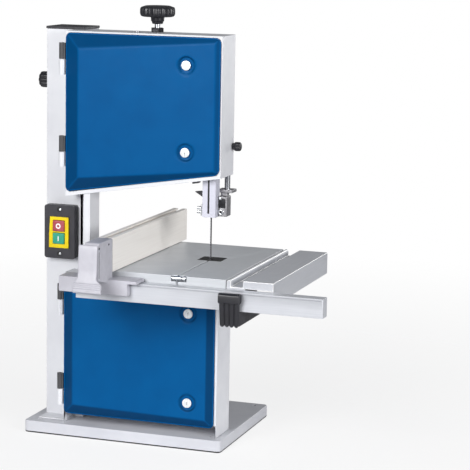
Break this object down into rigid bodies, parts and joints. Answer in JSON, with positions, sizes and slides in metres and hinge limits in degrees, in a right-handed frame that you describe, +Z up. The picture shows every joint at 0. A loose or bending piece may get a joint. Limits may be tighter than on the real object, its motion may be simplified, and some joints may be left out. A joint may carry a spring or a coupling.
{
  "type": "band saw",
  "caption": "Bench band saw: grey sheet-metal frame, blue wheel doors, tilting table with a sliding extension, rip fence, height-adjustable blade guide and push-button switch.",
  "frame": {"origin": "centre of the object's bounding box in plan, at the level of the base's underside", "axes": "+X to the operator's right, +Y to the back of the machine, +Z up"},
  "size_m": [0.55, 0.449, 0.702],
  "materials": {
    "frame_paint": "light grey textured powder coat",
    "door_paint": "blue semi-gloss paint",
    "guard_paint": "white grey powder coat",
    "hinge_paint": "dark grey paint",
    "plated_steel": "zinc plated, bright",
    "bright_steel": "ground steel",
    "black_steel": "blackened steel",
    "blade_steel": "rolled spring steel",
    "cast_wheel": "die cast, turned rim",
    "tyre_rubber": "matt black rubber",
    "motor_paint": "aluminium housing painted black",
    "motor_plastic": "black moulding",
    "die_cast": "tumbled die casting",
    "cap_plastic": "black moulding",
    "grip_plastic": "black ribbed moulding",
    "switch_plastic": "black spark-eroded texture",
    "switch_yellow": "yellow moulding",
    "button_red": "red moulding",
    "button_green": "green moulding",
    "table_casting": "ground grey top",
    "insert_plastic": "black moulding",
    "extruded_aluminium": "silver anodised extrusion",
    "extension_aluminium": "ground grey top",
    "fence_aluminium": "silver anodised extrusion",
    "clamp_plastic": "black ribbed moulding",
    "carrier_plastic": "light grey moulding"
  },
  "bodies": {
    "frame": {"base_pan": "frame_paint", "column": "frame_paint", "column_cap": "cap_plastic", "throat_guard": "frame_paint", "upper_wheel_box": "frame_paint", "lower_wheel_box": "frame_paint", "tension_nut": "black_steel", "motor_body": "motor_paint", "motor_fan_cover": "motor_plastic", "blade": "blade_steel", "switch_box": "switch_plastic", "switch_frame": "switch_yellow", "trunnion_bracket": "frame_paint", "lower_blade_guide": "black_steel"},
    "upper_door": {"upper_door": "door_paint", "upper_door_top_hinge": "hinge_paint", "upper_door_bottom_hinge": "hinge_paint"},
    "lower_door": {"lower_door": "door_paint", "lower_door_top_hinge": "hinge_paint", "lower_door_bottom_hinge": "hinge_paint"},
    "upper_door_top_lock": {"upper_door_top_lock": "plated_steel"},
    "upper_door_bottom_lock": {"upper_door_bottom_lock": "plated_steel"},
    "lower_door_top_lock": {"lower_door_top_lock": "plated_steel"},
    "lower_door_bottom_lock": {"lower_door_bottom_lock": "plated_steel"},
    "hanger": {"wheel_hanger": "black_steel", "upper_axle": "bright_steel"},
    "upper_band_wheel": {"upper_wheel": "cast_wheel", "upper_tyre": "tyre_rubber"},
    "tension_screw": {"tension_knob": "grip_plastic", "tension_spindle": "bright_steel"},
    "tracking_knob": {"tracking_knob": "grip_plastic"},
    "lower_band_wheel": {"lower_wheel": "cast_wheel", "lower_tyre": "tyre_rubber", "motor_shaft": "bright_steel"},
    "guide": {"guide_post": "bright_steel", "guide_bracket": "die_cast", "blade_guard": "guard_paint", "side_guide": "bright_steel", "guard_tab": "cap_plastic"},
    "thrust_bearing": {"thrust_bearing": "bright_steel"},
    "guide_lock_knob": {"guide_lock_knob": "grip_plastic"},
    "stop_button": {"stop_button": "button_red"},
    "start_button": {"start_button": "button_green"},
    "table": {"table_top": "table_casting", "table_insert": "insert_plastic", "slot_pin": "plated_steel", "trunnion_segment": "die_cast", "rail_bar": "extruded_aluminium"},
    "tilt_lock_knob": {"tilt_lock_knob": "grip_plastic"},
    "extension": {"sliding_rail": "extruded_aluminium", "table_extension": "extension_aluminium", "extension_clamp_body": "clamp_plastic"},
    "clamp_lever": {"extension_clamp_lever": "clamp_plastic"},
    "fence": {"fence_profile": "fence_aluminium", "fence_carrier": "carrier_plastic"},
    "fence_lever": {"fence_lever": "carrier_plastic"}
  },
  "joints": [
    {"name": "upper_door_hinge", "type": "hinge", "parent": "frame", "child": "upper_door", "pos_m": [-0.2065, -0.014, 0.54], "axis": [0, 0, -1], "range_deg": [0, 110]},
    {"name": "lower_door_hinge", "type": "hinge", "parent": "frame", "child": "lower_door", "pos_m": [-0.2085, -0.014, 0.15], "axis": [0, 0, -1], "range_deg": [0, 110]},
    {"name": "upper_door_top_lock_turn", "type": "hinge", "parent": "upper_door", "child": "upper_door_top_lock", "pos_m": [0.006, -0.012, 0.6135], "axis": [0, 1, 0], "range_deg": [0, 90]},
    {"name": "upper_door_bottom_lock_turn", "type": "hinge", "parent": "upper_door", "child": "upper_door_bottom_lock", "pos_m": [0.006, -0.012, 0.4775], "axis": [0, 1, 0], "range_deg": [0, 90]},
    {"name": "lower_door_top_lock_turn", "type": "hinge", "parent": "lower_door", "child": "lower_door_top_lock", "pos_m": [0.016, -0.012, 0.2217], "axis": [0, 1, 0], "range_deg": [0, 90]},
    {"name": "lower_door_bottom_lock_turn", "type": "hinge", "parent": "lower_door", "child": "lower_door_bottom_lock", "pos_m": [0.016, -0.012, 0.0764], "axis": [0, 1, 0], "range_deg": [0, 90]},
    {"name": "blade_tension_slide", "type": "slide", "parent": "frame", "child": "hanger", "axis": [0, 0, 1], "range_m": [-0.006, 0]},
    {"name": "upper_wheel_spin", "type": "hinge", "parent": "hanger", "child": "upper_band_wheel", "pos_m": [-0.063, 0.019, 0.54], "axis": [0, 1, 0], "continuous": true},
    {"name": "tension_screw_turn", "type": "hinge", "parent": "frame", "child": "tension_screw", "pos_m": [-0.063, 0.034, 0.64], "axis": [0, 0, 1], "range_deg": [0, 1440.5]},
    {"name": "tracking_knob_turn", "type": "hinge", "parent": "frame", "child": "tracking_knob", "pos_m": [-0.265, 0.056, 0.575], "axis": [1, 0, 0], "range_deg": [-360, 360]},
    {"name": "lower_wheel_spin", "type": "hinge", "parent": "frame", "child": "lower_band_wheel", "pos_m": [-0.063, 0.019, 0.154], "axis": [0, 1, 0], "continuous": true},
    {"name": "guide_height_slide", "type": "slide", "parent": "frame", "child": "guide", "axis": [0, 0, 1], "range_m": [-0.06, 0.012]},
    {"name": "thrust_bearing_spin", "type": "hinge", "parent": "guide", "child": "thrust_bearing", "pos_m": [0.0375, 0.025, 0.3805], "axis": [0, 1, 0], "continuous": true},
    {"name": "guide_lock_knob_turn", "type": "hinge", "parent": "frame", "child": "guide_lock_knob", "pos_m": [0.069, 0.043, 0.484], "axis": [1, 0, 0], "range_deg": [0, 360]},
    {"name": "stop_button_press", "type": "slide", "parent": "frame", "child": "stop_button", "axis": [0, 1, 0], "range_m": [0, 0.003], "stiffness_N_per_m": 300},
    {"name": "start_button_press", "type": "slide", "parent": "frame", "child": "start_button", "axis": [0, 1, 0], "range_m": [0, 0.003], "stiffness_N_per_m": 300},
    {"name": "table_tilt", "type": "hinge", "parent": "frame", "child": "table", "pos_m": [0.0375, 0.06, 0.304], "axis": [0, 1, 0], "range_deg": [0, 38]},
    {"name": "tilt_lock_knob_turn", "type": "hinge", "parent": "frame", "child": "tilt_lock_knob", "pos_m": [0.0375, 0.084, 0.246], "axis": [0, 1, 0], "range_deg": [0, 360]},
    {"name": "table_extension_slide", "type": "slide", "parent": "table", "child": "extension", "axis": [1, 0, 0], "range_m": [0, 0.18]},
    {"name": "extension_clamp_lever_turn", "type": "hinge", "parent": "extension", "child": "clamp_lever", "pos_m": [0.1325, -0.161, 0.286], "axis": [-1, 0, 0], "range_deg": [0, 60]},
    {"name": "fence_slide", "type": "slide", "parent": "table", "child": "fence", "axis": [-1, 0, 0], "range_m": [-0.068, 0]},
    {"name": "fence_lever_turn", "type": "hinge", "parent": "fence", "child": "fence_lever", "pos_m": [-0.0735, -0.209, 0.353], "axis": [-1, 0, 0], "range_deg": [0, 60]}
  ],
  "couplings": [
    {"joint": "upper_wheel_spin", "follows": "lower_wheel_spin", "ratio": 1},
    {"joint": "tension_screw_turn", "follows": "blade_tension_slide", "rad_per_m": -4188.8}
  ]
}
